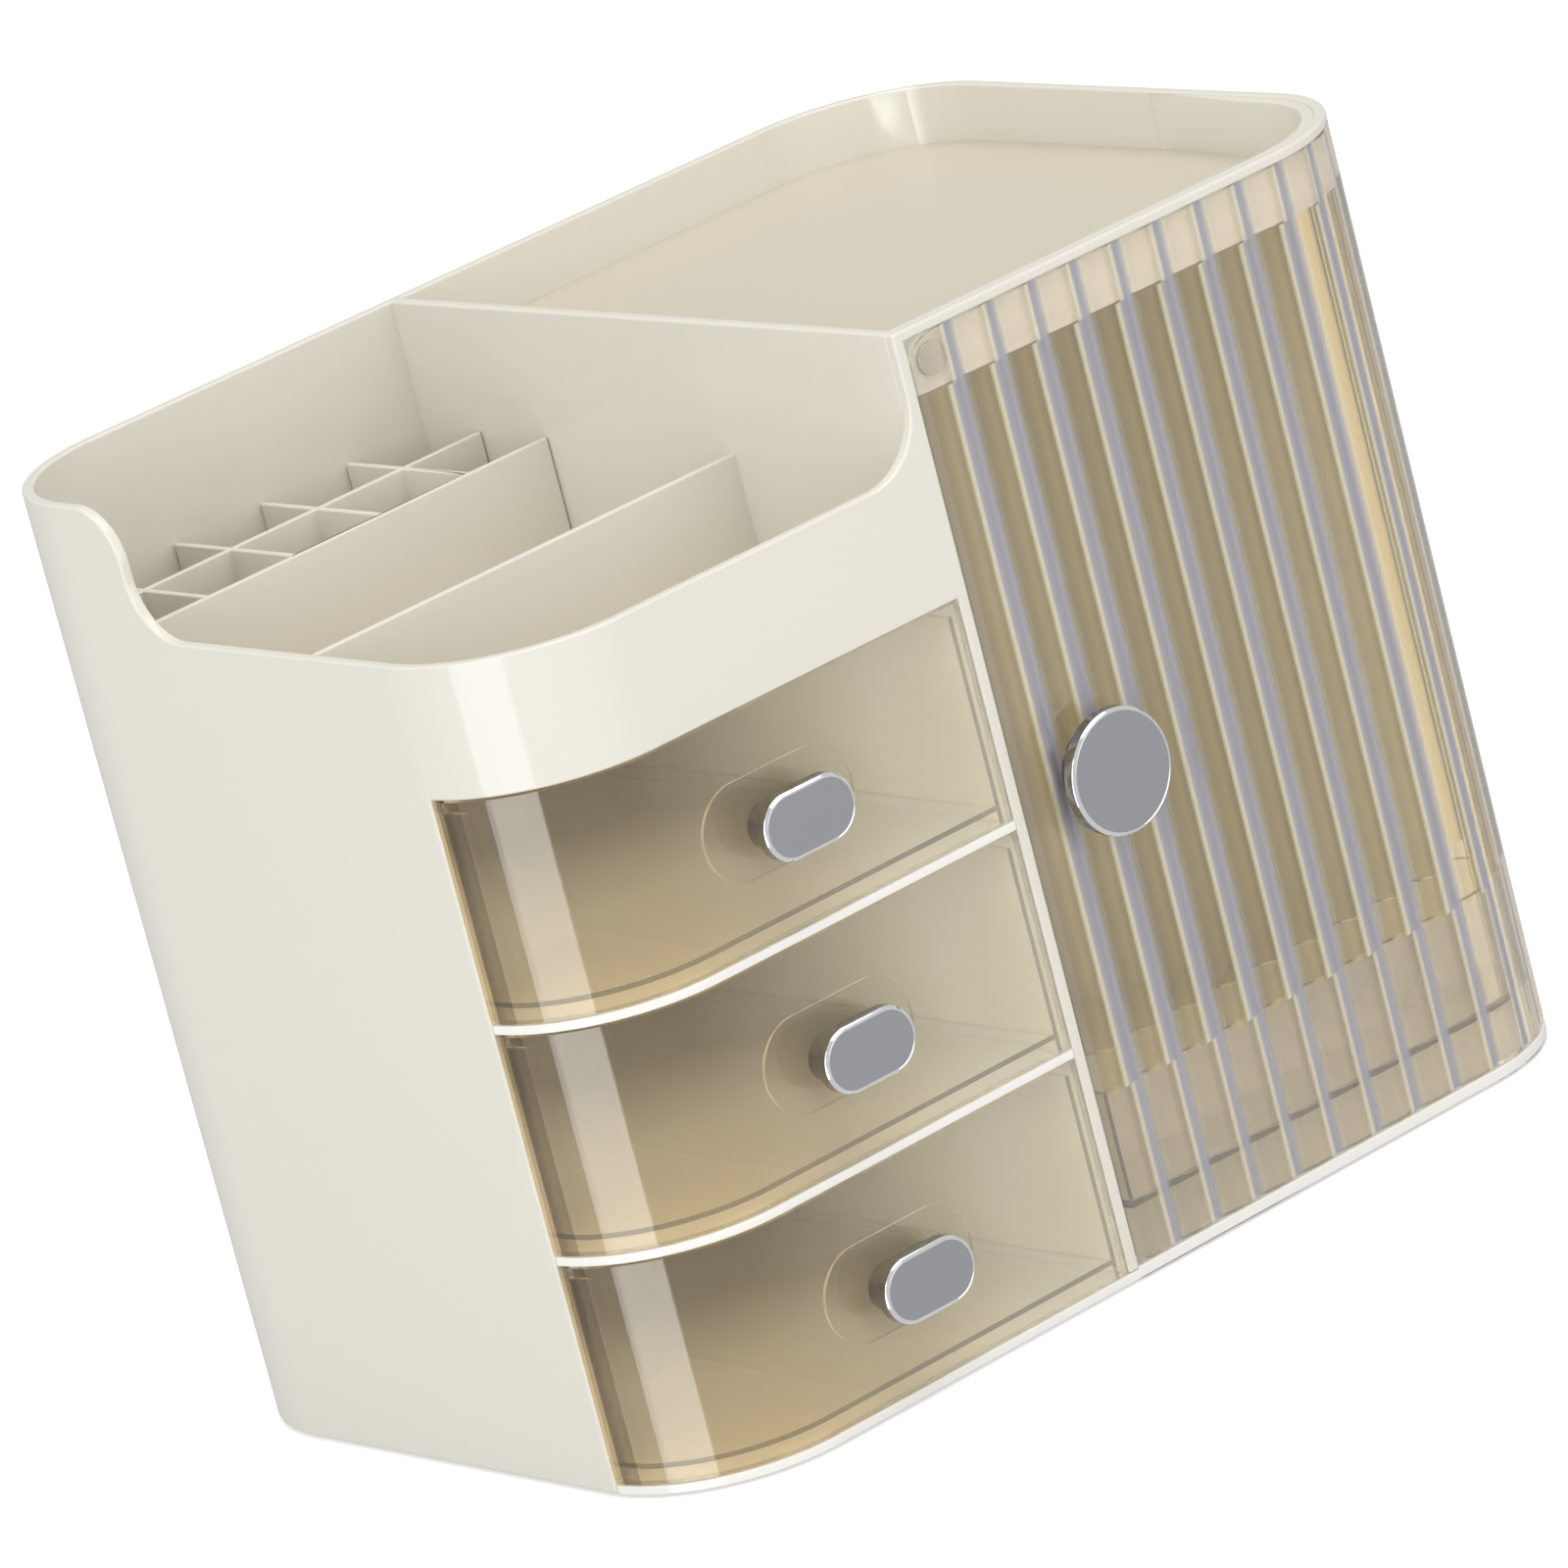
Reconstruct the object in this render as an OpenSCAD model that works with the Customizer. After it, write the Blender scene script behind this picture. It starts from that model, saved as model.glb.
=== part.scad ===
// Dustproof make-up organizer: a cream case with three clear drawers on the left,
// a tall cabinet behind a reeded clear door on the right, an open compartment with
// a lipstick grid above the drawers and a shallow tray above the cabinet.
// Millimetres. X runs to the right, Y to the back and Z up. The origin is under the
// middle of the whole object, knobs counted in, on the surface that it stands on.

/* [Case] */
// Width of the case
case_w = 300; // [285:1:330]
// Depth of the case, without the knobs
case_d = 193; // [185:1:215]
// Height of the case
case_h = 240; // [232:1:265]
// Radius of the four upright corners
corner_r = 40; // [36:1:44]
// Thickness of the case wall
wall_t = 3; // [2.8:0.1:3.4]
// Thickness of the base plate
base_t = 2.4; // [2:0.2:3]
// Thickness of the feet that stands out under the base
foot_out = 0.8; // [0.6:0.1:1.2]
// Diameter of each foot
foot_dia = 12; // [8:1:16]

/* [Drawers] */
// Clear height of each drawer bay
bay_h = 55.8; // [50:0.2:56]
// Thickness of the shelves between the drawers
shelf_t = 2.4; // [2:0.2:3]
// Depth at which the left wall ends beside the drawer fronts
side_open_y = 36; // [30:1:39]
// Distance from the left side to the post right of the drawers
post_x = 135; // [130:1:145]
// Thickness of the post and of the divider behind it
post_t = 3.2; // [2.8:0.2:4]
// Thickness of the drawer fronts
front_t = 3.2; // [2.8:0.2:4]
// Thickness of the drawers' side and rear walls and floors
drawer_t = 2.2; // [1.6:0.2:2.6]
// Height of the runners under the drawer floors
runner_h = 3.4; // [2:0.2:4]
// Free depth behind the drawers
behind_drawer = 6; // [4:1:12]
// Amount by which the drawer walls stay below the bay's top
drawer_drop = 4; // [3:0.5:8]

/* [Open compartment] */
// Height of the band over the drawers, up to the low rim
band_h = 32.8; // [28:0.2:36]
// Thickness of the compartment's floor
deck_t = 2.4; // [2:0.2:3]
// Radius of the hollow rise from the low rim to the post
rise_r = 17; // [12:1:22]
// Depth at which the left wall climbs from the low rim to full height
climb_y = 133; // [125:1:138]
// Radius at the foot of that climb
climb_low_r = 15; // [11:1:16]
// Radius at the top of that climb
climb_top_r = 14; // [10:1:16]
// Distance from the front to the partition
partition_y = 70; // [55:1:85]
// Thickness of the partition
partition_t = 2; // [1.6:0.2:2.6]

/* [Lipstick grid] */
// Distance from the front to the grid's front wall
grid_y = 141; // [139:0.5:145]
// Spacing of the cells across the width
cell_w = 27.4; // [24:0.2:29]
// Width of the cells beside the divider, wall counted in
cell_right = 24.7; // [20:0.1:27]
// Spacing of the cells along the depth
cell_d = 26; // [23:0.5:28]
// Thickness of the grid's walls
grid_t = 1.8; // [1.2:0.2:2.2]
// Thickness of the grid's floor
grid_floor_t = 1.4; // [1:0.2:2]

/* [Top tray] */
// Depth of the tray below the rim
tray_depth = 15; // [12:0.5:18]
// Thickness of the tray's floor
tray_floor_t = 2; // [1.6:0.2:2.6]
// Thickness of the rail behind the top of the door
rail_t = 2.6; // [2.4:0.1:3.2]
// Height of the rim that runs over the door
lip_h = 2.6; // [2.2:0.2:3.4]

/* [Door] */
// Thickness of the door, reeds counted in
door_t = 3; // [2.8:0.1:3.2]
// Height of the reeds
reed_h = 1.4; // [0.6:0.1:1.6]
// Width of one reed
reed_w = 13.6; // [11:0.1:16]
// Height of the sill's top edge under the door
sill_h = 3; // [2.8:0.1:9]
// Depth at which the hinge line stands
hinge_y = 44; // [42:0.5:47]
// Radius of the door's upper free corner
door_top_r = 8; // [4:0.5:12]
// Radius of the door's lower free corner
door_low_r = 4; // [2:0.5:8]
// Diameter of the hinge pins
pin_dia = 1.5; // [1.2:0.1:1.6]
// Length of each hinge pin inside the door
pin_in = 9; // [6:0.5:12]
// Diameter of the closing magnet
magnet_dia = 8; // [6:0.5:9]
// Thickness of the closing magnet
magnet_t = 1.4; // [1:0.1:1.5]

/* [Door pocket] */
// Height of the pocket's floor above the door's lower edge
pocket_up = 12.6; // [8:0.2:14]
// Height of the pocket
pocket_h = 29.4; // [20:0.2:45]
// Depth of the pocket behind the door
pocket_d = 28; // [20:1:32]
// Thickness of the pocket's walls
pocket_t = 1.6; // [1.2:0.2:2]

/* [Knobs] */
// Amount by which the knobs stand out
knob_out = 9.5; // [7:0.5:12]
// Thickness of the knobs' heads
knob_head_t = 3.6; // [3:0.2:5]
// Width of a drawer knob
knob_w = 28; // [22:1:34]
// Height of a drawer knob
knob_h = 16.5; // [12:0.5:20]
// Distance from the left side to the drawer knobs
knob_x = 70.5; // [60:0.5:80]
// Diameter of the door knob
door_knob_dia = 31; // [24:1:36]
// Distance from the left side to the door knob
door_knob_x = 162.5; // [158:0.5:172]
// Height of the door knob's middle
door_knob_z = 121; // [90:1:150]
// Width of the thick pad behind a drawer knob
pad_w = 46; // [36:1:52]
// Diameter of the knob screws
screw_dia = 3; // [2.5:0.1:3.5]
// Depth of a screw in its knob
screw_bite = 6; // [4:0.5:6.5]

/* [Hidden] */
$fn = 96;

// Colours of the finishes
cream = [0.93, 0.91, 0.85];
clear = [0.80, 0.82, 0.84, 0.45];
chrome = [0.78, 0.79, 0.81];
steel = [0.62, 0.63, 0.65];
dark = [0.25, 0.25, 0.26];

// Clearances
seat_gap = 0.2; // fixed plate to the wall that holds it
slide_gap = 0.6; // drawer to the case wall beside it
post_gap = 1.6; // drawer to the divider beside it
ride_gap = 0.3; // drawer to the shelf below it
front_gap = 0.4; // drawer front or door to the opening's edge
lift_gap = 0.4; // loose insert to the walls round it
pin_gap = 0.05; // hinge pin in its running socket
hold_gap = 0.02; // hinge pin or magnet in the seat that holds it
shank_gap = 0.05; // screw in the knob's threaded hole
over = 1; // overlap of a cutting tool past the face that it cuts

// Heights of the levels
shelf_low_z = base_t + bay_h;
shelf_up_z = shelf_low_z + shelf_t + bay_h;
deck_z = shelf_up_z + shelf_t + bay_h;
deck_top = deck_z + deck_t;
low_rim_z = deck_z + band_h;
bay_z = [base_t, shelf_low_z + shelf_t, shelf_up_z + shelf_t];

// Places in plan
post_right = post_x + post_t;
inner_back = case_d - wall_t;
grid_right = post_x - lift_gap;
drawer_right = post_x - front_gap;
drawer_back = inner_back - behind_drawer;

// Door
door_left = post_right + front_gap;
pin_floor = 0.8; // plastic left in the base under the lower hinge pin
door_z = sill_h + front_gap;
door_top = case_h - lip_h - front_gap;
door_height = door_top - door_z;
nose_r = door_t / 2;
hinge_x = case_w - nose_r;
wall_start_y = hinge_y + nose_r + slide_gap;
groove_sink = 0.15; // how far the plain sheet fills the grooves between the reeds
reed_turn = reed_w / corner_r * 180 / PI; // angle that one reed takes on the corner

// Tray
tray_z = case_h - tray_depth - tray_floor_t;
tray_in = door_t + lift_gap;
rail_in = tray_in + rail_t;
rail_top = case_h - 0.9;
flange_t = 1.3;
wedge_y = 78; // where the rail has thinned out along the right wall

// Pocket
pocket_z = door_z + pocket_up;
pocket_x = door_left + 4;
pocket_back = door_t + pocket_d;

// Knobs and screws
neck_in = 2.2; // how far a knob's neck stays inside its head's outline
pad_t = 1;
pad_h = 24;
screw_head_dia = 2 * screw_dia;
screw_head_t = 0.7 * screw_dia;
magnet_x = door_left + 7.4;
magnet_z = door_top - 6.6;
knob_z = [for (z = bay_z) z + bay_h / 2 - 0.5];

// Feet
foot_sink = 0.8;
foot_in = 26;

// Moves a piece from corner-based places to the object's own frame
module place() {
    translate([-case_w / 2, -(case_d - knob_out) / 2, foot_out]) children();
}

// Plan of the case's outline, moved in by the given amount
module outline_plan(inset) {
    r = corner_r - inset;
    translate([corner_r, inset]) square([case_w - 2 * corner_r, case_d - 2 * inset]);
    translate([inset, corner_r]) square([case_w - 2 * inset, case_d - 2 * corner_r]);
    for (x = [corner_r, case_w - corner_r], y = [corner_r, case_d - corner_r])
        translate([x, y]) circle(r = r);
}

// Upright block on that plan
module outline_block(inset, h) {
    linear_extrude(height = h) outline_plan(inset);
}

// Upright wall between two insets of the case's outline
module outline_wall(outer, inner, h) {
    difference() {
        outline_block(outer, h);
        translate([0, 0, -over]) outline_block(inner, h + 2 * over);
    }
}

// Cutting box from one corner to another
module box(low, high) {
    translate(low) cube(high - low);
}

// Flat oval block that lies across X, with its face towards the front
module oval(w, h, t) {
    rotate([90, 0, 0]) {
        translate([-(w - h) / 2, -h / 2, 0]) cube([w - h, h, t]);
        for (s = [-1, 1])
            translate([s * (w - h) / 2, 0, 0]) cylinder(d = h, h = t);
    }
}

// Rod along Y, from its front end at the given place backwards
module rod_y(d, l) {
    rotate([-90, 0, 0]) cylinder(d = d, h = l);
}

// Room above the low rim at the left wall, with the wall's swept climb left standing
module left_cut() {
    top = case_h + over;
    foot_y = climb_y - climb_low_r;
    width = corner_r + over;
    difference() {
        box([-over, -over, low_rim_z], [width, climb_y, top]);
        difference() {
            box([-2 * over, foot_y, low_rim_z - over],
                [width + over, climb_y + over, low_rim_z + climb_low_r]);
            translate([-3 * over, foot_y, low_rim_z + climb_low_r])
                rotate([0, 90, 0]) cylinder(r = climb_low_r, h = width + 5 * over);
        }
    }
    difference() {
        box([-over, climb_y - over / 2, case_h - climb_top_r],
            [width, climb_y + climb_top_r, top]);
        translate([-2 * over, climb_y + climb_top_r, case_h - climb_top_r])
            rotate([0, 90, 0]) cylinder(r = climb_top_r, h = width + 4 * over);
    }
}

// Room above the low rim at the front, with the hollow rise to the post left standing
module front_cut() {
    depth = corner_r + over;
    rise_z = low_rim_z + rise_r;
    difference() {
        box([corner_r / 2, -over, low_rim_z], [post_x, depth, case_h + over]);
        difference() {
            box([post_x - rise_r, -2 * over, low_rim_z - over],
                [post_x + over, depth + over, rise_z]);
            translate([post_x - rise_r, -3 * over, rise_z])
                rod_y(2 * rise_r, depth + 5 * over);
        }
    }
}

// Outer walls, front band, post and the rim over the door, in one moulding
module case_shell() {
    color(cream) place() difference() {
        outline_wall(0, wall_t, case_h);
        left_cut();
        front_cut();
        box([-over, -over, -over], [post_x, side_open_y, deck_z]);
        box([post_x - over, -over, -over], [post_right + over, wall_t + over, base_t]);
        box([post_right, -over, -over], [case_w + over, wall_start_y, case_h - lip_h]);
        translate([hinge_x, hinge_y, case_h - lip_h - over])
            cylinder(d = pin_dia + 2 * pin_gap, h = over + 1.6);
    }
}

// Upright panel from the post to the back wall
module centre_divider() {
    color(cream) place()
        box([post_x, wall_t, base_t], [post_right, inner_back - seat_gap, case_h]);
}

// Plate left of the divider, with its front edge flush in the drawer opening
module bay_plate(t) {
    intersection() {
        union() {
            outline_block(wall_t + seat_gap, t);
            intersection() {
                outline_block(0, t);
                box([-over, -over, -over], [post_x, side_open_y - seat_gap, t + over]);
            }
        }
        box([-over, -over, -over], [post_x, case_d, t + over]);
    }
}

module drawer_shelf_lower() {
    color(cream) place() translate([0, 0, shelf_low_z]) bay_plate(shelf_t);
}

module drawer_shelf_upper() {
    color(cream) place() translate([0, 0, shelf_up_z]) bay_plate(shelf_t);
}

// Places of the four feet, in corner-based plan
foot_places = [for (x = [foot_in, case_w - foot_in], y = [foot_in, case_d - foot_in]) [x, y]];

// Base plate with the sill that the door closes over
module base_plate() {
    color(cream) place() difference() {
        union() {
            outline_block(wall_t + seat_gap, base_t);
            intersection() {
                outline_block(0, base_t);
                union() {
                    box([-over, -over, -over], [post_x, side_open_y - seat_gap, case_h]);
                    box([post_x - over, -over, -over],
                        [case_w + over, wall_start_y - seat_gap, case_h]);
                }
            }
            intersection() {
                outline_wall(0, wall_t + 2, sill_h);
                box([post_right, -over, 0],
                    [case_w + over, wall_start_y - seat_gap, case_h]);
            }
        }
        translate([hinge_x, hinge_y, pin_floor])
            cylinder(d = pin_dia + 2 * pin_gap, h = sill_h);
        for (p = foot_places)
            translate([p[0], p[1], -over])
                cylinder(d = foot_dia + 2 * seat_gap, h = over + foot_sink);
    }
}

module feet() {
    color(dark) place() for (p = foot_places)
        translate([p[0], p[1], -foot_out])
            cylinder(d = foot_dia, h = foot_out + foot_sink);
}

// Floor of the open compartment, over the top drawer
module compartment_floor() {
    color(cream) place() translate([0, 0, deck_z]) intersection() {
        outline_block(wall_t + seat_gap, deck_t);
        box([-over, -over, -over], [post_x, case_d, deck_t + over]);
    }
}

// Partition across the open compartment
module compartment_partition() {
    color(cream) place()
        box([wall_t + seat_gap, partition_y, deck_top],
            [post_x - seat_gap, partition_y + partition_t, low_rim_z - lift_gap]);
}

// Lift-out grid of cells along the back of the open compartment
module lipstick_grid() {
    z = deck_top + ride_gap;
    height = low_rim_z - z;
    cross_x = [for (i = [0:3]) grid_right - cell_right - i * cell_w];
    color(cream) place() translate([0, 0, z]) intersection() {
        outline_block(wall_t + lift_gap, height);
        union() {
            box([0, grid_y, 0], [grid_right, inner_back, grid_floor_t]);
            for (y = [grid_y, grid_y + cell_d])
                box([0, y, 0], [grid_right, y + grid_t, height]);
            for (x = cross_x)
                box([x - grid_t / 2, grid_y, 0], [x + grid_t / 2, inner_back, height]);
        }
    }
}

// Wedge that thins the tray's rail out along the right wall
module rail_wedge(h) {
    x_out = case_w - tray_in;
    linear_extrude(height = h)
        polygon([[x_out, corner_r - over], [x_out, wedge_y],
            [case_w - rail_in, corner_r], [case_w - rail_in, corner_r - over]]);
}

// Tray floor with the rail that stands behind the top of the door
module top_tray() {
    web_h = rail_top - tray_z;
    color(cream) place() difference() {
        union() {
            intersection() {
                translate([0, 0, tray_z]) outline_block(tray_in, tray_floor_t);
                box([post_right, 0, 0], [case_w, case_d, case_h]);
            }
            intersection() {
                translate([0, 0, tray_z]) outline_wall(tray_in, rail_in, web_h);
                box([post_right, 0, 0], [case_w, corner_r, case_h]);
            }
            intersection() {
                translate([0, 0, rail_top - flange_t])
                    outline_wall(wall_t + seat_gap, rail_in, flange_t);
                box([post_right, 0, 0], [case_w, corner_r, case_h]);
            }
            translate([0, 0, tray_z]) rail_wedge(web_h);
        }
        translate([magnet_x, tray_in - over, magnet_z])
            rod_y(magnet_dia + 2 * hold_gap, over + magnet_t);
    }
}

module catch_magnet() {
    color(steel) place() translate([magnet_x, tray_in, magnet_z])
        rod_y(magnet_dia, magnet_t);
}

// Upright block of a drawer's plan, moved in from the case by the given amount
module drawer_block(inset, right, h) {
    intersection() {
        outline_block(front_t, h);
        translate([0, -behind_drawer, 0]) outline_block(inset, h);
        box([-over, -over, -over], [right, case_d, h + over]);
    }
}

// One clear drawer that stands in the bay whose floor is at the given height
module drawer(z, knob_mid) {
    floor_low = z + runner_h;
    floor_top = floor_low + drawer_t;
    body_left = wall_t + slide_gap;
    wall_top = z + bay_h - drawer_drop;
    front_low = z + front_gap;
    front_top = z + bay_h - front_gap;
    body_right = post_x - post_gap;
    hollow_right = body_right - drawer_t;
    front_end = side_open_y - front_gap;
    color(clear) place() difference() {
        union() {
            intersection() {
                translate([0, 0, front_low]) outline_wall(0, front_t, front_top - front_low);
                box([-over, -over, 0], [drawer_right, front_end, case_h]);
            }
            intersection() {
                translate([0, 0, front_low]) outline_block(0, wall_top - front_low);
                box([-over, -over, 0], [body_right, front_end, case_h]);
            }
            translate([0, 0, z + ride_gap])
                drawer_block(body_left, body_right, wall_top - z - ride_gap);
            translate([knob_x, front_t + pad_t, knob_mid]) oval(pad_w, pad_h, 2 * pad_t);
        }
        difference() {
            translate([0, 0, floor_top])
                drawer_block(body_left + drawer_t, hollow_right, bay_h);
            translate([knob_x, front_t + pad_t, knob_mid]) oval(pad_w, pad_h, 2 * pad_t);
        }
        translate([0, 0, z - over])
            drawer_block(body_left + drawer_t, hollow_right, floor_low - z + over);
        translate([knob_x, -over, knob_mid])
            rod_y(screw_dia + 4 * shank_gap, front_t + pad_t + 2 * over);
    }
}

module drawer_bottom() {
    drawer(bay_z[0], knob_z[0]);
}

module drawer_middle() {
    drawer(bay_z[1], knob_z[1]);
}

module drawer_top() {
    drawer(bay_z[2], knob_z[2]);
}

// Oval pull with a narrower neck, drawn from its seat forwards
module drawer_knob(z) {
    neck_t = knob_out - knob_head_t;
    color(chrome) place() translate([knob_x, 0, z]) difference() {
        union() {
            oval(knob_w - 2 * neck_in, knob_h - 2 * neck_in, knob_out - over);
            translate([0, -neck_t, 0]) oval(knob_w, knob_h, knob_head_t);
        }
        translate([0, -screw_bite - over, 0])
            rod_y(screw_dia + 2 * shank_gap, screw_bite + 2 * over);
    }
}

module drawer_knob_bottom() {
    drawer_knob(knob_z[0]);
}

module drawer_knob_middle() {
    drawer_knob(knob_z[1]);
}

module drawer_knob_top() {
    drawer_knob(knob_z[2]);
}

// Pan-head screw that holds a knob from behind a sheet of the given thickness
module knob_screw(x, z, sheet) {
    color(steel) place() translate([x, 0, z]) {
        translate([0, -screw_bite, 0]) rod_y(screw_dia, screw_bite + sheet);
        translate([0, sheet, 0]) rod_y(screw_head_dia, screw_head_t);
    }
}

module knob_screw_bottom() {
    knob_screw(knob_x, knob_z[0], front_t + pad_t);
}

module knob_screw_middle() {
    knob_screw(knob_x, knob_z[1], front_t + pad_t);
}

module knob_screw_top() {
    knob_screw(knob_x, knob_z[2], front_t + pad_t);
}

// Plan of one reed, its crest on y = 0. Its groove lies at the given place beside it
module reed_plan(groove_x, groove_y) {
    r = (groove_x * groove_x + groove_y * groove_y) / (2 * groove_y);
    reach = groove_x + groove_sink;
    intersection() {
        translate([0, r]) circle(r = r, $fn = 360);
        translate([-reach, -over]) square([2 * reach, over + 0.7 * door_t]);
    }
}

// Plan of the door: a plain sheet with reeds on it, and the round nose at the hinge
module door_plan() {
    flat_end = case_w - corner_r;
    reeds_flat = floor((flat_end - door_left) / reed_w + 0.5);
    over_run = door_left + (reeds_flat + 0.5) * reed_w - flat_end;
    first_turn = over_run / reed_w * reed_turn;
    reeds_round = floor((90 - first_turn) / reed_turn) + 1;
    groove_r = corner_r - reed_h;
    intersection() {
        union() {
            difference() {
                outline_plan(reed_h - groove_sink);
                outline_plan(door_t);
            }
            for (i = [0:reeds_flat - 1])
                translate([door_left + (i + 0.5) * reed_w, 0])
                    reed_plan(reed_w / 2, reed_h);
            for (i = [0:reeds_round - 1])
                translate([flat_end, corner_r])
                    rotate(first_turn + i * reed_turn)
                        translate([0, -corner_r])
                            reed_plan(groove_r * sin(reed_turn / 2),
                                corner_r - groove_r * cos(reed_turn / 2));
        }
        translate([door_left, -over]) square([case_w - door_left + over, hinge_y + over]);
    }
    translate([hinge_x, hinge_y]) circle(r = nose_r);
}

// Waste outside a rounded free corner of the door, cut to the left of x = 0
module corner_waste(r) {
    difference() {
        translate([-over, -over, -over]) cube([r + over, door_t + 2 * over, r + over]);
        translate([r, -2 * over, r]) rod_y(2 * r, door_t + 4 * over);
    }
}

// Reeded clear door that wraps round the front right corner to its hinge line
module cabinet_door() {
    color(clear) place() difference() {
        translate([0, 0, door_z]) linear_extrude(height = door_height) door_plan();
        translate([door_left, 0, door_z]) corner_waste(door_low_r);
        translate([door_left, 0, door_top]) mirror([0, 0, 1]) corner_waste(door_top_r);
        translate([magnet_x, door_t - magnet_t - hold_gap, magnet_z])
            rod_y(magnet_dia + 2 * hold_gap, magnet_t + over);
        translate([door_knob_x, -over, door_knob_z])
            rod_y(screw_dia + 4 * shank_gap, door_t + 2 * over);
        for (z = [door_z - over, door_top - pin_in])
            translate([hinge_x, hinge_y, z])
                cylinder(d = pin_dia + 2 * hold_gap, h = pin_in + over);
    }
}

// Clear pocket along the inside of the door
module door_pocket() {
    outer_in = door_t + seat_gap;
    inner_in = outer_in + pocket_t;
    right = case_w;
    color(clear) place() difference() {
        intersection() {
            translate([0, 0, pocket_z]) outline_block(outer_in, pocket_h);
            box([pocket_x, 0, 0], [right, pocket_back, case_h]);
        }
        intersection() {
            translate([0, 0, pocket_z + pocket_t]) outline_block(inner_in, pocket_h);
            box([pocket_x + pocket_t, 0, 0], [right, pocket_back - pocket_t, case_h]);
        }
    }
}

// Round pull with a narrower neck
module door_knob() {
    neck_t = knob_out - knob_head_t;
    color(chrome) place() translate([door_knob_x, 0, door_knob_z]) difference() {
        union() {
            translate([0, -knob_out + over, 0])
                rod_y(door_knob_dia - 4 * neck_in, knob_out - over);
            translate([0, -knob_out, 0]) rod_y(door_knob_dia, knob_head_t);
        }
        translate([0, -screw_bite - over, 0])
            rod_y(screw_dia + 2 * shank_gap, screw_bite + 2 * over);
    }
}

module door_knob_screw() {
    knob_screw(door_knob_x, door_knob_z, door_t);
}

module hinge_pin_upper() {
    color(steel) place() translate([hinge_x, hinge_y, door_top - pin_in + over])
        cylinder(d = pin_dia, h = pin_in - over + front_gap + 1.4);
}

module hinge_pin_lower() {
    pin_z = pin_floor + seat_gap;
    color(steel) place() translate([hinge_x, hinge_y, pin_z])
        cylinder(d = pin_dia, h = door_z - pin_z + pin_in - over);
}

module door_magnet() {
    color(steel) place() translate([magnet_x, door_t - magnet_t, magnet_z])
        rod_y(magnet_dia, magnet_t);
}

case_shell();
centre_divider();
base_plate();
drawer_shelf_lower();
drawer_shelf_upper();
compartment_floor();
compartment_partition();
lipstick_grid();
top_tray();
drawer_bottom();
drawer_middle();
drawer_top();
drawer_knob_bottom();
drawer_knob_middle();
drawer_knob_top();
knob_screw_bottom();
knob_screw_middle();
knob_screw_top();
cabinet_door();
door_pocket();
door_knob();
door_knob_screw();
hinge_pin_upper();
hinge_pin_lower();
door_magnet();
catch_magnet();
feet();
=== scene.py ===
# %% [markdown]
# # A make-up organizer in cream and clear plastic
#
# The object is a moulded box with rounded corners. Three clear drawers stand on the
# left, a tall cabinet with a reeded clear door stands on the right, and the top holds
# an open compartment, a grid for lipsticks and a shallow tray.
#
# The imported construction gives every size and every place. It is loaded once, and it
# stays as it is. What this script adds is what the eye sees: soft edges, smooth
# corners, real plastic and metal, a camera and light.

# %% Load the construction
import math

import bmesh
import bpy
from mathutils import Matrix, Vector


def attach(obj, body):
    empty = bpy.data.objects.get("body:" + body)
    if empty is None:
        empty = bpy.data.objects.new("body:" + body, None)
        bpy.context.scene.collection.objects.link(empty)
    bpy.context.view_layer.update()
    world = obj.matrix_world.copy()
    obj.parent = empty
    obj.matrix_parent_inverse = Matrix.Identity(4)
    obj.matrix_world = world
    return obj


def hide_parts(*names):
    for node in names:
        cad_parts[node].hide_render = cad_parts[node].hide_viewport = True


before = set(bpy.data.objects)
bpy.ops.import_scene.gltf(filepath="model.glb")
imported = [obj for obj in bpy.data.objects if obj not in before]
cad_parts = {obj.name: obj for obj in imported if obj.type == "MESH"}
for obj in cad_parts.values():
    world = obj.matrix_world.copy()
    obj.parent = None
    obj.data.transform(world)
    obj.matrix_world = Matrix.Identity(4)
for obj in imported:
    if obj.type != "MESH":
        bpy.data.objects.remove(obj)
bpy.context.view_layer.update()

# %% [markdown]
# ## Working in the maker's millimetres
#
# A moulder's drawing starts at the front left corner of the case and counts in
# millimetres. Blender counts in metres, and the construction's origin lies under the
# middle of the object. One small helper turns the drawing's places into Blender's, so
# that the numbers below read like the drawing.

# %% Sizes of the case and a helper for places
CASE_W = 300.0
CASE_D = 193.0
CASE_H = 240.0
CORNER_R = 40.0
WALL_T = 3.0
POST_X = 135.0
POST_RIGHT = 138.2
LOW_RIM = 207.4
DECK_Z = 174.6
BAY_H = 55.8
BAY_FLOORS = (2.4, 60.6, 118.8)
SHELF_T = 2.4
FOOT_OUT = 0.8
KNOB_OUT = 9.5
HINGE = (298.5, 44.0)
PIN_HOLE_R = 0.8
SILL_Z = 3.0


def at(x, y, z):
    """A place on the drawing, in metres in the construction's frame."""
    return Vector((x - CASE_W / 2, y - (CASE_D - KNOB_OUT) / 2, z + FOOT_OUT)) / 1000


def on_drawing(place):
    """The same the other way: metres in the frame to millimetres on the drawing."""
    p = place * 1000
    return Vector((p.x + CASE_W / 2, p.y + (CASE_D - KNOB_OUT) / 2, p.z - FOOT_OUT))


print("front left corner of the case is at", [round(v, 4) for v in at(0, 0, 0)])

# %% [markdown]
# ## The camera
#
# The photograph was taken with a long lens from the front left, a little above the
# top, and the picture was then turned, so that the box leans to the left in it. The
# camera's three directions are worked out from its angle round the object, its height
# angle and its roll. The lens is written for the usual 36 mm sensor.

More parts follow.
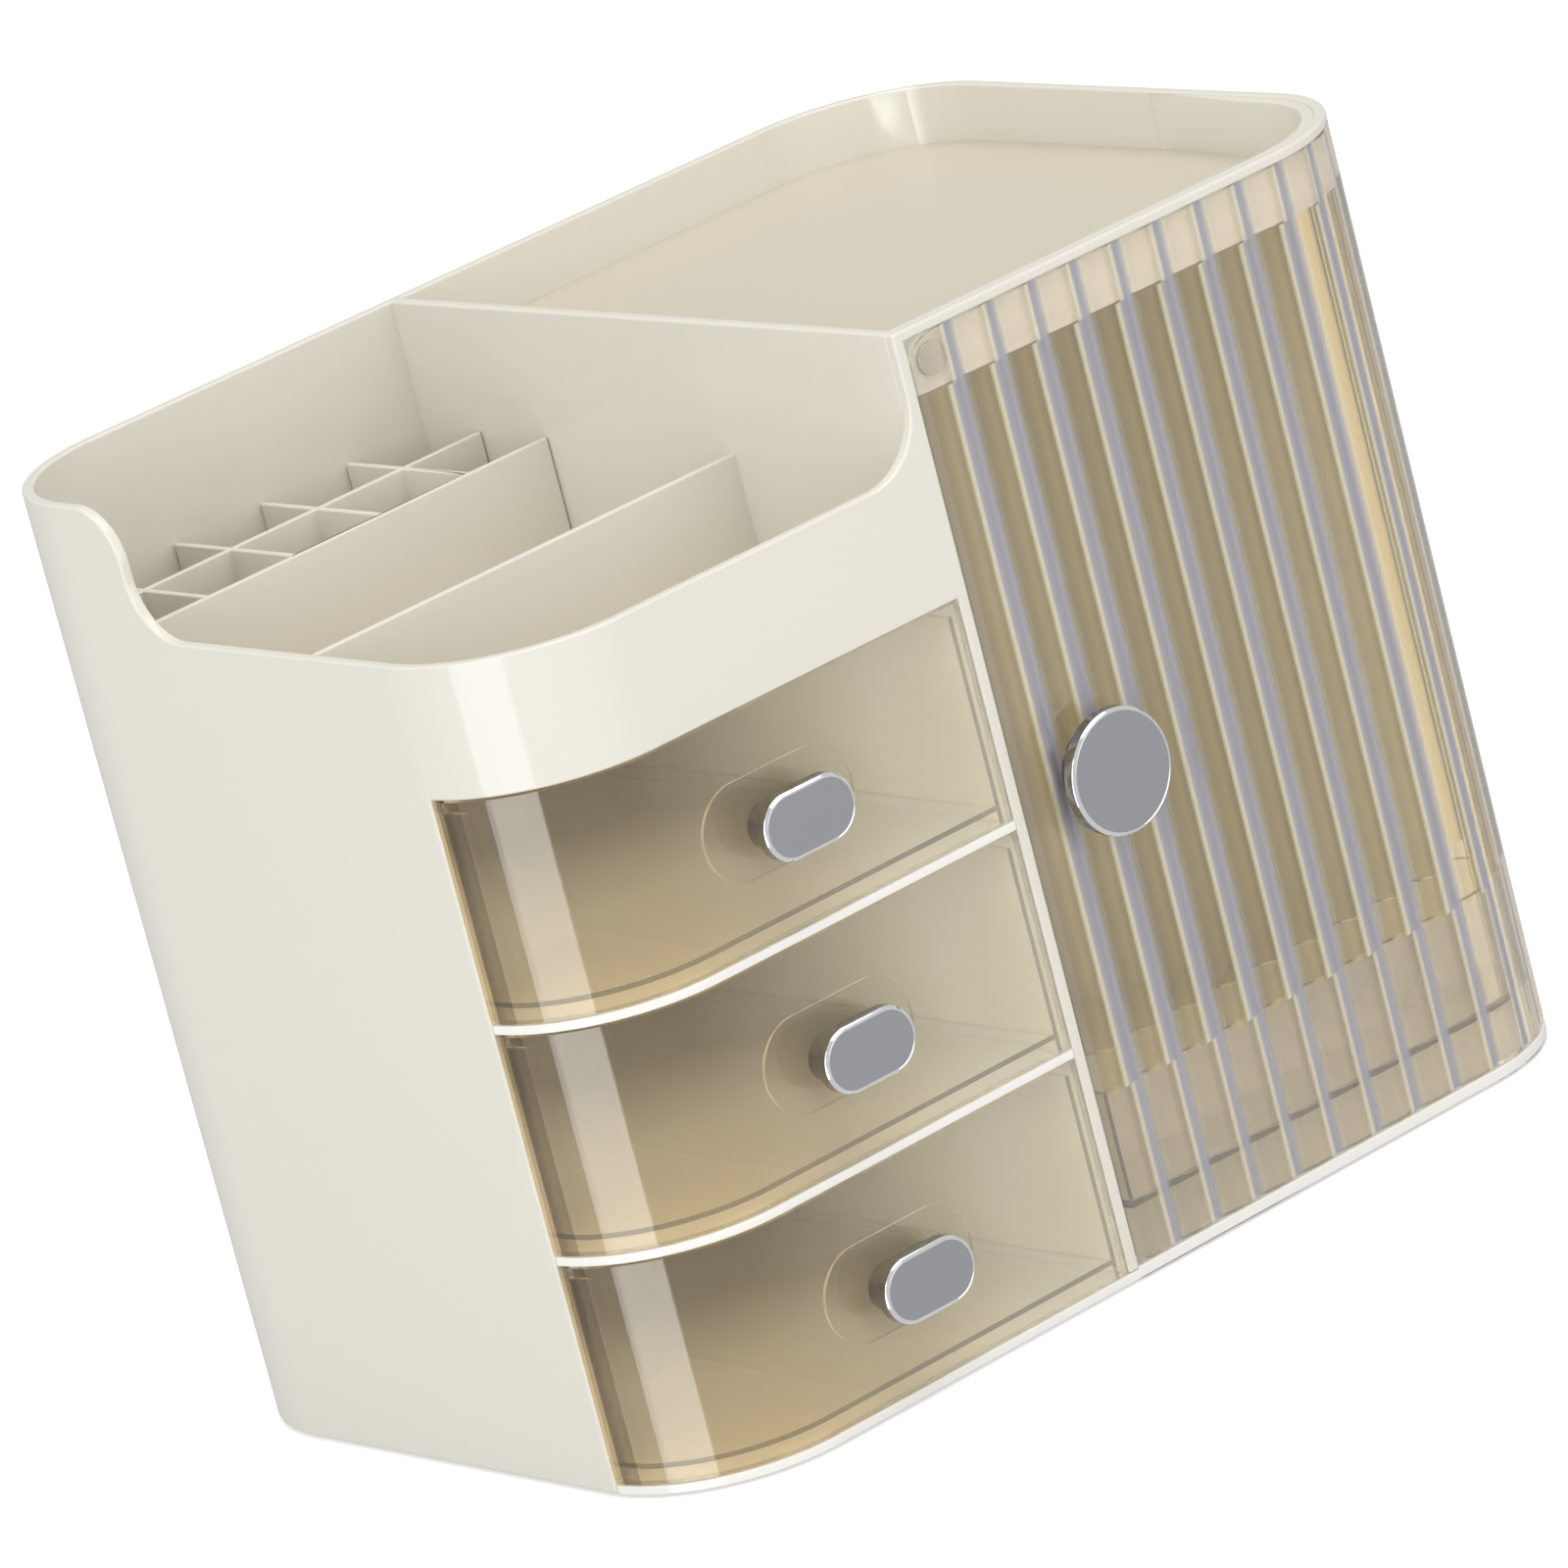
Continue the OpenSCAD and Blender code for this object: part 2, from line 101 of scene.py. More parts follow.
# %% Camera at the photograph's angle
AZIMUTH, ELEVATION, ROLL = (math.radians(a) for a in (-36.68, 16.829, 0.394 - 15.0))
EYE = at(-1422.9, -2007.4, 910.1)
LENS_PIXELS, PICTURE_PIXELS, SENSOR_MM = 11579.9, 1600, 36
back = Vector((math.sin(AZIMUTH) * math.cos(ELEVATION),
               -math.cos(AZIMUTH) * math.cos(ELEVATION),
               math.sin(ELEVATION)))
level = Vector((math.cos(AZIMUTH), math.sin(AZIMUTH), 0))
upright = back.cross(level)
right = level * math.cos(ROLL) + upright * math.sin(ROLL)
up = upright * math.cos(ROLL) - level * math.sin(ROLL)
bpy.ops.object.select_all(action="DESELECT")
bpy.ops.object.camera_add(location=EYE)
camera = bpy.context.object
camera.name = "camera"
turned = Matrix((right, up, back)).transposed().to_4x4()
camera.matrix_world = Matrix.Translation(EYE) @ turned
camera.data.sensor_width = SENSOR_MM
camera.data.lens = LENS_PIXELS / PICTURE_PIXELS * SENSOR_MM
camera.data.clip_end = 50
bpy.context.scene.camera = camera
print("camera stands", round(EYE.length, 2), "m away, lens", round(camera.data.lens), "mm")

# %% [markdown]
# ## The room
#
# The object stands on a plain pale floor in a white room. The floor is a diffuse
# surface that takes the shadow. A little white is added to it for rays from the camera
# alone, so that the picture's ground is white without more light on the object. Rays
# from glossy surfaces pass the floor, so the plastic mirrors the room and not the floor.
#
# The room has its own strength for each kind of ray: a soft one that lights the object,
# one that is mirrored, and a brighter one that clear plastic shows where it bends rays.

# %% Floor and white surroundings
FLOOR_TONE, FLOOR_GLOW = (0.80, 0.80, 0.80), 0.46

scene = bpy.context.scene
scene.view_settings.view_transform = "Standard"

bpy.ops.object.select_all(action="DESELECT")
bpy.ops.mesh.primitive_plane_add(size=14, location=(0, 0, 0))
floor = bpy.context.object
floor.name = "floor"


def new_material(name):
    """An empty node material, its nodes and its links."""
    made = bpy.data.materials.new(name)
    made.use_nodes = True
    made.node_tree.nodes.clear()
    return made, made.node_tree.nodes, made.node_tree.links


def by_ray(nodes, links, ray, other, this):
    """Takes this shader for one kind of ray and the other for the rest."""
    pick = nodes.new("ShaderNodeMixShader")
    links.new(nodes.new("ShaderNodeLightPath").outputs[ray], pick.inputs[0])
    links.new(other, pick.inputs[1])
    links.new(this, pick.inputs[2])
    return pick.outputs[0]


def show(nodes, links, surface):
    """Makes a shader the surface of its material."""
    links.new(surface, nodes.new("ShaderNodeOutputMaterial").inputs["Surface"])


floor_paint, nodes, links = new_material("floor_paint")
matt = nodes.new("ShaderNodeBsdfDiffuse")
matt.inputs["Color"].default_value = (*FLOOR_TONE, 1)
glow = nodes.new("ShaderNodeEmission")
glow.inputs["Strength"].default_value = FLOOR_GLOW
both = nodes.new("ShaderNodeAddShader")
links.new(matt.outputs[0], both.inputs[0])
links.new(glow.outputs[0], both.inputs[1])
seen = by_ray(nodes, links, "Is Camera Ray", matt.outputs[0], both.outputs[0])
clear_way = nodes.new("ShaderNodeBsdfTransparent").outputs[0]
show(nodes, links, by_ray(nodes, links, "Is Glossy Ray", seen, clear_way))
floor.data.materials.append(floor_paint)

world = bpy.data.worlds.new("white_room")
scene.world = world
world.use_nodes = True
nodes, links = world.node_tree.nodes, world.node_tree.links
nodes.clear()


def sky(strength, colour):
    """A plain background of one strength."""
    made = nodes.new("ShaderNodeBackground")
    made.inputs["Color"].default_value = (*colour, 1)
    made.inputs["Strength"].default_value = strength
    return made.outputs[0]


room = sky(0.54, (1.0, 0.985, 0.95))
for ray, light in (("Is Glossy Ray", sky(0.62, (0.97, 0.98, 1.0))),
                   ("Is Transmission Ray", sky(1.0, (1.0, 0.97, 0.90))),
                   ("Is Camera Ray", sky(1.0, (1, 1, 1)))):
    room = by_ray(nodes, links, ray, room, light)
links.new(room, nodes.new("ShaderNodeOutputWorld").inputs["Surface"])
print("floor and white room made")

# %% [markdown]
# ## The lamps
#
# Three large soft boxes light the object: one overhead, one at the front right and a
# tall narrow one at the front left. The narrow one is what draws the bright upright
# band on the rounded corners, as it does in the photograph. A fourth, tiny lamp sends a
# thin beam into the far corner of the tray. It leaves a pale patch on the wall there,
# where the photograph has a white streak.

# %% Soft boxes and a thin beam
BEAM_FROM, BEAM_TO, BEAM_ANGLE = at(92.9, 27.7, 405.0), at(289.6, 175.2, 233.0), 1.2


def soft_box(name, place, aim, width, height, power, tint=(1, 1, 1)):
    """A rectangular lamp at a place, turned towards what it lights."""
    bpy.ops.object.select_all(action="DESELECT")
    bpy.ops.object.light_add(type="AREA", location=place)
    lamp = bpy.context.object
    lamp.name = name
    lamp.data.shape = "RECTANGLE"
    lamp.data.size, lamp.data.size_y = width, height
    lamp.data.energy = power
    lamp.data.color = tint
    lamp.rotation_euler = (Vector(aim) - Vector(place)).to_track_quat("-Z", "Y").to_euler()
    return lamp


soft_box("lamp_over", (0.1, -0.3, 2.0), (0, 0, 0.1), 1.8, 1.8, 18, (1.0, 0.97, 0.93))
soft_box("lamp_front", (0.4, -2.2, 0.55), (0, 0, 0.12), 1.6, 1.2, 11, (0.92, 0.93, 1.0))
soft_box("lamp_strip", (-1.78, -0.64, 0.1), (0, 0, 0.12), 1.15, 2.6, 26, (0.92, 0.95, 1.0))
beam = soft_box("lamp_streak", BEAM_FROM, BEAM_TO, 0.0115, 0.013, 0.0002, (0.80, 0.88, 1.0))
beam.data.spread = math.radians(BEAM_ANGLE)

# %% [markdown]
# ## Cream plastic
#
# The case is moulded in glossy warm cream ABS. Up close such plastic has a very faint
# unevenness: a slow change of tone, a fine ripple from the mould and a gloss that isn't
# quite the same all over. Noise on object coordinates gives all three, so that the
# pattern stays on the piece wherever it moves.
#
# Two near relatives of the cream paint light and shade on it: a darker, more matt cream
# for the floors of the tray and of the open compartment, which is painted shade, and a
# whiter one for the front edges of the shelves and of the base, a painted highlight.

# %% Finish of the cream plastic


def noise(nodes, links, coords, scale, detail=2.0):
    """A noise texture on object coordinates, scale in waves per metre."""
    tex = nodes.new("ShaderNodeTexNoise")
    tex.inputs["Scale"].default_value = scale
    tex.inputs["Detail"].default_value = detail
    links.new(coords, tex.inputs["Vector"])
    return tex.outputs["Fac"]


def spread(nodes, links, value, low, high, start=0.3, end=0.7):
    """A value that runs from start to end, spread between two numbers."""
    step = nodes.new("ShaderNodeMapRange")
    step.inputs["From Min"].default_value = start
    step.inputs["From Max"].default_value = end
    step.inputs["To Min"].default_value = low
    step.inputs["To Max"].default_value = high
    links.new(value, step.inputs["Value"])
    return step.outputs["Result"]


def two_tones(nodes, links, value, one, other, way="MIX"):
    """A colour between two, as the value says. All three are plain numbers or sockets."""
    mix = nodes.new("ShaderNodeMix")
    mix.data_type = "RGBA"
    mix.blend_type = way
    for socket, colour in ((mix.inputs["A"], one), (mix.inputs["B"], other)):
        if isinstance(colour, tuple):
            socket.default_value = (*colour, 1)
        else:
            links.new(colour, socket)
    if isinstance(value, float):
        mix.inputs["Factor"].default_value = value
    else:
        links.new(value, mix.inputs["Factor"])
    return mix.outputs["Result"]


def ripple(nodes, links, value, strength, depth):
    """A bump of the given depth in metres."""
    bump = nodes.new("ShaderNodeBump")
    bump.inputs["Strength"].default_value = strength
    bump.inputs["Distance"].default_value = depth
    links.new(value, bump.inputs["Height"])
    return bump.outputs["Normal"]


def moulded_plastic(name, one, other, gloss_low, gloss_high, coat=0.0, bend=1.5):
    """Opaque moulded plastic between two near tones."""
    made, nodes, links = new_material(name)
    body = nodes.new("ShaderNodeBsdfPrincipled")
    coords = nodes.new("ShaderNodeTexCoord").outputs["Object"]
    slow = noise(nodes, links, coords, 9)
    fine = noise(nodes, links, coords, 260, 3)
    links.new(two_tones(nodes, links, slow, one, other), body.inputs["Base Color"])
    links.new(spread(nodes, links, slow, gloss_low, gloss_high), body.inputs["Roughness"])
    links.new(ripple(nodes, links, fine, 0.05, 0.0002), body.inputs["Normal"])
    body.inputs["IOR"].default_value = bend
    body.inputs["Coat Weight"].default_value = coat
    body.inputs["Coat Roughness"].default_value = 0.05
    show(nodes, links, body.outputs[0])
    return made


# Painted shade: a darker copy of the cream for the floors of the tray and the compartment.
PAINTED_SHADE_CREAM = moulded_plastic("painted_shade_cream_plastic", (0.665, 0.615, 0.51), (0.685, 0.635, 0.53),
                             0.3, 0.4, bend=1.25)
CREAM = moulded_plastic("cream_plastic", (0.80, 0.772, 0.685), (0.82, 0.795, 0.715),
                        0.12, 0.19, coat=0.2)
# Painted highlight: a whiter copy of the cream for the front edges of shelves and base.
PAINTED_HIGHLIGHT_CREAM = moulded_plastic("painted_highlight_cream_plastic", (0.93, 0.915, 0.87), (0.95, 0.935, 0.89),
                               0.12, 0.19, coat=0.2)
print("made", CREAM.name, PAINTED_SHADE_CREAM.name, PAINTED_HIGHLIGHT_CREAM.name)

# %% [markdown]
# ## Clear plastic
#
# The drawers, the door and its pocket are clear polystyrene. It bends light like glass,
# with a trace of warm tint. Lamps couldn't reach what stands behind a bent surface in a
# reasonable time, so their shadow rays pass straight through with a small loss.
#
# The drawers' warm tint is painted deeper towards their left end, which is painted shade
# for their dim inside, and a narrow strip at the very end is painted dark, painted shade
# where the thick end bends light away. A small haze grows towards their right end and
# towards the floor of each bay, which makes them paler there: this is painted light.

# %% Finish of the clear plastic
# Places in metres, as the finish reads them, for the painted shade and dark strip. The
# painted haze, which is painted light, starts and is full at these fractions of a bay's height.
PAINTED_SHADE_FULL_X, PAINTED_SHADE_END_X, DRAWERS_END_X = -0.120, -0.045, -0.012
PAINTED_DARK_STRIP_X, PAINTED_DARK_STRIP_Y, PAINTED_DARK_STRIP_HALF = -0.1470, -0.0612, 0.0026
BAY_START_Z, BAY_PITCH, PAINTED_HAZE_FROM, PAINTED_HAZE_FULL = 0.0032, 0.0582, 0.75, 0.40
CLEARNESS, PAINTED_HAZE_AMOUNT = 0.95, 0.12


def ramp(nodes, links, value, *stops):
    """A colour that runs through the given stops."""
    made = nodes.new("ShaderNodeValToRGB").color_ramp
    node = nodes[-1]
    links.new(value, node.inputs["Fac"])
    while len(made.elements) < len(stops):
        made.elements.new(0.5)
    for element, (place, colour) in zip(made.elements, stops):
        element.position = place
        element.color = (*colour, 1)
    return node.outputs["Color"]


def sums(nodes, links, operation, *values):
    """One sum on values or numbers."""
    node = nodes.new("ShaderNodeMath")
    node.operation = operation
    for socket, value in zip(node.inputs, values):
        if isinstance(value, (int, float)):
            socket.default_value = value
        else:
            links.new(value, socket)
    return node.outputs[0]


def clear_body(nodes, links, coords, bend, haze_low, haze_high, shine):
    """The bending surface of clear plastic with a faint haze that varies."""
    body = nodes.new("ShaderNodeBsdfPrincipled")
    slow = noise(nodes, links, coords, 14)
    fine = noise(nodes, links, coords, 120, 2)
    body.inputs["Transmission Weight"].default_value = 0.94
    body.inputs["IOR"].default_value = bend
    body.inputs["Coat Weight"].default_value = 0.9
    body.inputs["Coat IOR"].default_value = shine
    body.inputs["Coat Roughness"].default_value = 0.03
    links.new(spread(nodes, links, slow, haze_low, haze_high), body.inputs["Roughness"])
    links.new(ripple(nodes, links, fine, 0.04, 0.0002), body.inputs["Normal"])
    return body


def let_lamps_through(nodes, links, surface, through):
    """Lets lamps' rays pass a surface with a small loss."""
    passing = nodes.new("ShaderNodeBsdfTransparent")
    passing.inputs["Color"].default_value = (*through, 1)
    show(nodes, links, by_ray(nodes, links, "Is Shadow Ray", surface, passing.outputs[0]))


CLEAR, nodes, links = new_material("clear_plastic")
coords = nodes.new("ShaderNodeTexCoord").outputs["Object"]
body = clear_body(nodes, links, coords, 1.24, 0.012, 0.03, 1.6)
place = nodes.new("ShaderNodeSeparateXYZ")
links.new(coords, place.inputs[0])
x, y, z = (place.outputs[axis] for axis in "XYZ")
# Painted shade: side runs from 0 at the drawers' left end to 1 further right; it deepens the tint
# at the left and feeds the painted haze.
side = spread(nodes, links, x, 0, 1, PAINTED_SHADE_FULL_X, PAINTED_SHADE_END_X)
in_drawers = sums(nodes, links, "LESS_THAN", x, DRAWERS_END_X)
tint = two_tones(nodes, links, side, (0.90, 0.78, 0.55), (0.99, 0.95, 0.83))
tint = two_tones(nodes, links, in_drawers, (0.99, 0.97, 0.92), tint)
# Painted shade: a dark strip at the drawers' very left end.
in_painted_dark_strip = sums(nodes, links, "MULTIPLY",
                sums(nodes, links, "COMPARE", y, PAINTED_DARK_STRIP_Y, PAINTED_DARK_STRIP_HALF),
                sums(nodes, links, "LESS_THAN", x, PAINTED_DARK_STRIP_X))
links.new(two_tones(nodes, links, in_painted_dark_strip, tint, (0.46, 0.38, 0.24)), body.inputs["Base Color"])
# Painted light: a haze that pales the drawers towards their right end and towards each bay's
# floor.
bay = sums(nodes, links, "DIVIDE", sums(nodes, links, "SUBTRACT", z, BAY_START_Z), BAY_PITCH)
low = spread(nodes, links, sums(nodes, links, "FRACT", bay), 0, 1, PAINTED_HAZE_FROM, PAINTED_HAZE_FULL)
painted_haze = sums(nodes, links, "MULTIPLY", sums(nodes, links, "MAXIMUM", side, low), in_drawers)
links.new(sums(nodes, links, "SUBTRACT", CLEARNESS, sums(nodes, links, "MULTIPLY", painted_haze, PAINTED_HAZE_AMOUNT)),
          body.inputs["Transmission Weight"])
let_lamps_through(nodes, links, body.outputs[0], (0.99, 0.98, 0.96))
print("made", CLEAR.name)

# %% [markdown]
# ## Reeded plastic
#
# Each reed of the door is a lens, and what it shows is painted on its outside: warm tones
# for the inside of the cabinet with a painted highlight in the middle and darker flanks,
# painted shade in each groove, and on the far flank an opaque grey stripe that is a painted
# reflection of the grey room. Where the plastic lies right on something, as at the top rail
# and at the pocket, the stripe is narrow and the tones plainer. The door carries a number on
# its surface that counts reeds, and the painted stripes follow that number.

# %% Finish of the reeded plastic
# Heights in metres, and the painted stripe's place and width in reeds.
RAIL_Z, POCKET_Z = 0.2238, 0.0462
PAINTED_STRIPE_TURN, PAINTED_STRIPE_NARROWER, FIRST_PAINTED_STRIPE = 0.81, 0.15, 1.2

REEDED, nodes, links = new_material("reeded_plastic")
coords = nodes.new("ShaderNodeTexCoord").outputs["Object"]
count = nodes.new("ShaderNodeAttribute")
count.attribute_name = "reed_count"
across = sums(nodes, links, "FRACT", count.outputs["Fac"])
height = nodes.new("ShaderNodeSeparateXYZ")
links.new(coords, height.inputs[0])
at_rail = sums(nodes, links, "GREATER_THAN", height.outputs["Z"], RAIL_Z)
at_pocket = sums(nodes, links, "LESS_THAN", height.outputs["Z"], POCKET_Z)
close_by = sums(nodes, links, "MAXIMUM", at_rail, at_pocket)
from_painted_stripe = sums(nodes, links, "FRACT", sums(nodes, links, "ADD", across, PAINTED_STRIPE_TURN))
narrow = sums(nodes, links, "MULTIPLY", close_by, PAINTED_STRIPE_NARROWER)
shifted = sums(nodes, links, "SUBTRACT", from_painted_stripe, narrow)
body = clear_body(nodes, links, coords, 1.36, 0.015, 0.035, 1.5)
# Painted refraction: warm tones across each reed, with a painted highlight line and darker
# flanks.
painted_lens_tones = ramp(nodes, links, shifted, (0.0, (0.70, 0.62, 0.48)), (0.12, (0.80, 0.66, 0.42)),
            (0.26, (0.96, 0.81, 0.51)), (0.38, (0.78, 0.62, 0.34)), (0.46, (0.88, 0.75, 0.46)),
            (0.56, (1.0, 0.95, 0.80)), (1.0, (0.86, 0.80, 0.68)))
plain = sums(nodes, links, "MULTIPLY", close_by, 0.7)
painted_reed_tones = two_tones(nodes, links, plain, painted_lens_tones, (0.80, 0.755, 0.70))
# Painted shade: darker colour in each groove.
painted_groove_shade = ramp(nodes, links, across, (0.0, (0.50, 0.48, 0.46)), (0.03, (0.62, 0.60, 0.57)),
              (0.06, (1, 1, 1)))
links.new(two_tones(nodes, links, 1.0, painted_reed_tones, painted_groove_shade, "MULTIPLY"), body.inputs["Base Color"])
# Painted reflection: an opaque grey on each reed's far flank for the room mirrored there.
painted_reflection_flank = nodes.new("ShaderNodeBsdfPrincipled")
painted_reflection_flank.inputs["Roughness"].default_value = 0.22
painted_reflection_grey = ramp(nodes, links, shifted, (0.46, (0.92, 0.84, 0.62)), (0.54, (0.95, 0.89, 0.70)),
            (0.60, (0.42, 0.42, 0.46)), (0.76, (0.36, 0.36, 0.41)), (1.0, (0.42, 0.42, 0.47)))
links.new(painted_reflection_grey, painted_reflection_flank.inputs["Base Color"])
painted_reflection_stripe = ramp(nodes, links, shifted, (0.0, (0, 0, 0)), (0.42, (0, 0, 0)), (0.49, (0.5, 0.5, 0.5)),
              (0.56, (0.6, 0.6, 0.6)), (0.60, (0.9, 0.9, 0.9)), (1.0, (0.85, 0.85, 0.85)))
ending = ramp(nodes, links, from_painted_stripe, (0.0, (1, 1, 1)), (0.86, (1, 1, 1)), (0.95, (0, 0, 0)))
past_edge = sums(nodes, links, "GREATER_THAN", count.outputs["Fac"], FIRST_PAINTED_STRIPE)
painted_reflection_stripe = sums(nodes, links, "MULTIPLY", painted_reflection_stripe, ending)
with_painted_reflection = nodes.new("ShaderNodeMixShader")
links.new(sums(nodes, links, "MULTIPLY", painted_reflection_stripe, past_edge), with_painted_reflection.inputs[0])
links.new(body.outputs[0], with_painted_reflection.inputs[1])
links.new(painted_reflection_flank.outputs[0], with_painted_reflection.inputs[2])
let_lamps_through(nodes, links, with_painted_reflection.outputs[0], (0.96, 0.945, 0.91))
print("made", REEDED.name)

# %% [markdown]
# ## Plated and plain metal, and rubber
#
# The pulls are plated: a bright bevelled rim round a finely brushed face. Their sides and
# necks get a darker copy of the plating, a painted dark reflection. Screws, pins and
# magnets are plain bright steel. The feet are matt rubber. Each is a metal or a plastic
# with noise in its roughness, which is what handling and polishing leave.

# %% Finishes of the metal and the rubber


def metal(name, colour, rough_low, rough_high, grain, stretch=(1, 1, 1)):
    """Metal whose roughness follows a grain, stretched along an axis where brushed."""
    made, nodes, links = new_material(name)
    body = nodes.new("ShaderNodeBsdfPrincipled")
    coords = nodes.new("ShaderNodeTexCoord").outputs["Object"]
    mapping = nodes.new("ShaderNodeMapping")
    mapping.inputs["Scale"].default_value = stretch
    links.new(coords, mapping.inputs["Vector"])
    lines = noise(nodes, links, mapping.outputs["Vector"], grain, 3)
    body.inputs["Base Color"].default_value = (*colour, 1)
    body.inputs["Metallic"].default_value = 1.0
    links.new(spread(nodes, links, lines, rough_low, rough_high), body.inputs["Roughness"])
    links.new(ripple(nodes, links, lines, 0.02, 0.00001), body.inputs["Normal"])
    show(nodes, links, body.outputs[0])
    return made


RIM = metal("plated_rim", (0.92, 0.92, 0.93), 0.05, 0.10, 400)
# Painted reflection: a darker copy of the plating for the pulls' sides and necks.
EDGE = metal("plated_edge_painted_dark", (0.42, 0.42, 0.44), 0.10, 0.18, 400)
FACE = metal("brushed_face", (0.47, 0.47, 0.485), 0.28, 0.34, 300, (1, 1, 12))
STEEL = metal("bright_steel", (0.62, 0.62, 0.64), 0.16, 0.28, 900)
RUBBER = moulded_plastic("foot_rubber", (0.030, 0.030, 0.032), (0.045, 0.045, 0.047), 0.6, 0.75)
print("made", RIM.name, EDGE.name, FACE.name, STEEL.name, RUBBER.name)

# %% [markdown]
# ## The modeller's tools
#
# Every moulding here starts as a cube, a cylinder or a grid at its true size. Its
# edges are rounded by beveling, other blocks are taken away or joined on, and at the
# end all sharp edges get the small radius that a mould leaves. These helpers are those
# steps, each of them one of Blender's own operators.

# %% Helpers for selecting, adding and rounding


def only(obj):
    """Makes one object the selected and active one."""
    if bpy.context.object is not None and bpy.context.object.mode != "OBJECT":
        bpy.ops.object.mode_set(mode="OBJECT")
    bpy.ops.object.select_all(action="DESELECT")
    obj.select_set(True)
    bpy.context.view_layer.objects.active = obj


def block(low, high, name="tool"):
    """A cube primitive stretched between two corners on the drawing."""
    low, high = at(*low), at(*high)
    bpy.ops.object.select_all(action="DESELECT")
    bpy.ops.mesh.primitive_cube_add(size=1, location=(low + high) / 2)
    obj = bpy.context.object
    obj.name = name
    obj.scale = high - low
    bpy.ops.object.transform_apply(location=True, rotation=True, scale=True)
    return obj


def rod(centre, radius, length, along, name="tool", steps=64):
    """A cylinder primitive about a place on the drawing, along X, Y or Z."""
    turn = {"X": (0, math.pi / 2, 0), "Y": (math.pi / 2, 0, 0), "Z": (0, 0, 0)}[along]
    bpy.ops.object.select_all(action="DESELECT")
    bpy.ops.mesh.primitive_cylinder_add(vertices=steps, radius=radius / 1000,
                                        depth=length / 1000, location=at(*centre),
                                        rotation=turn)
    obj = bpy.context.object
    obj.name = name
    bpy.ops.object.transform_apply(location=True, rotation=True, scale=True)
    return obj


def round_edges(obj, radius, steps, wanted):
    """Bevels the edges whose two ends, on the drawing, pass the test."""
    only(obj)
    bpy.ops.object.mode_set(mode="EDIT")
    bpy.ops.mesh.select_mode(type="EDGE")
    bpy.ops.mesh.select_all(action="DESELECT")
    mesh = bmesh.from_edit_mesh(obj.data)
    for edge in mesh.edges:
        if wanted(*(on_drawing(v.co) for v in edge.verts)):
            edge.select = True
    bmesh.update_edit_mesh(obj.data)
    bpy.ops.mesh.bevel(offset=radius / 1000, segments=steps, affect="EDGES", clamp_overlap=False)
    bpy.ops.object.mode_set(mode="OBJECT")
    return obj


def outline(inset, low_z, high_z, name="tool", steps=24):
    """A block on the case's rounded outline, moved in by the given amount."""
    obj = block((inset, inset, low_z), (CASE_W - inset, CASE_D - inset, high_z), name)
    return round_edges(obj, CORNER_R - inset, steps, lambda a, b: abs(a.z - b.z) > 1)


print("helpers ready")

# %% Helpers for joining, softening and dressing


def combine(obj, tool, operation):
    """Joins, cuts or keeps with another mesh, which is then gone."""
    only(obj)
    step = obj.modifiers.new("combine", "BOOLEAN")
    step.operation = operation
    step.object = tool
    step.solver = "EXACT"
    bpy.ops.object.modifier_apply(modifier=step.name)
    bpy.data.objects.remove(tool, do_unlink=True)
    return obj


def cut(obj, *tools):
    for tool in tools:
        combine(obj, tool, "DIFFERENCE")
    return obj


def add(obj, *tools):
    for tool in tools:
        combine(obj, tool, "UNION")
    return obj


def keep(obj, tool):
    return combine(obj, tool, "INTERSECT")


def soften(obj, width=0.5, steps=3, angle=32):
    """Cleans the mesh, gives its sharp edges a small radius and smooths its shading."""
    only(obj)
    bpy.ops.object.mode_set(mode="EDIT")
    bpy.ops.mesh.select_all(action="SELECT")
    bpy.ops.mesh.remove_doubles(threshold=0.000002)
    bpy.ops.mesh.normals_make_consistent(inside=False)
    bpy.ops.object.mode_set(mode="OBJECT")
    edge = obj.modifiers.new("edge", "BEVEL")
    edge.width = width / 1000
    edge.segments = steps
    edge.limit_method = "ANGLE"
    edge.angle_limit = math.radians(angle)
    edge.use_clamp_overlap = False
    bpy.ops.object.modifier_apply(modifier=edge.name)
    bpy.ops.object.shade_smooth_by_angle(angle=math.radians(40))
    shade = obj.modifiers.new("shade", "WEIGHTED_NORMAL")
    shade.keep_sharp = True
    shade.weight = 80
    bpy.ops.object.modifier_apply(modifier=shade.name)
    return obj


def smooth_clear(obj, angle=20):
    """Cleans a clear piece's mesh and smooths its curves. Its flat faces stay flat."""
    only(obj)
    bpy.ops.object.mode_set(mode="EDIT")
    bpy.ops.mesh.select_all(action="SELECT")
    bpy.ops.mesh.remove_doubles(threshold=0.000002)
    bpy.ops.mesh.normals_make_consistent(inside=False)
    bpy.ops.object.mode_set(mode="OBJECT")
    bpy.ops.object.shade_smooth_by_angle(angle=math.radians(angle))
    return obj


def dress(obj, name, node, body, slot, *finishes):
    """Names a finished piece, gives it its finish and ties it to its body."""
    obj.name = name
    obj.data.name = name
    for finish in finishes:
        obj.data.materials.append(finish)
    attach(obj, body)
    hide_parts(node)
    print(name, "has", len(obj.data.polygons), "faces")
    return obj


print("joining and dressing ready")

# %% [markdown]
# ## The case
#
# One moulding makes the outer walls, the band over the drawers, the front post and the
# rim over the door. It starts as a rounded block that is hollowed, and then the low
# rim, the drawer opening and the cabinet opening are taken out of it. The rim climbs
# from the low part to the high one in two swept curves, so the blocks that are taken
# away have those curves rounded on them first.

# %% Case moulding
LOW_END_Y, SWEEP_Z, SWEEP_R = 133, 226, 14

shell = outline(0, 0, CASE_H)
cut(shell, outline(WALL_T, -1, CASE_H + 1))

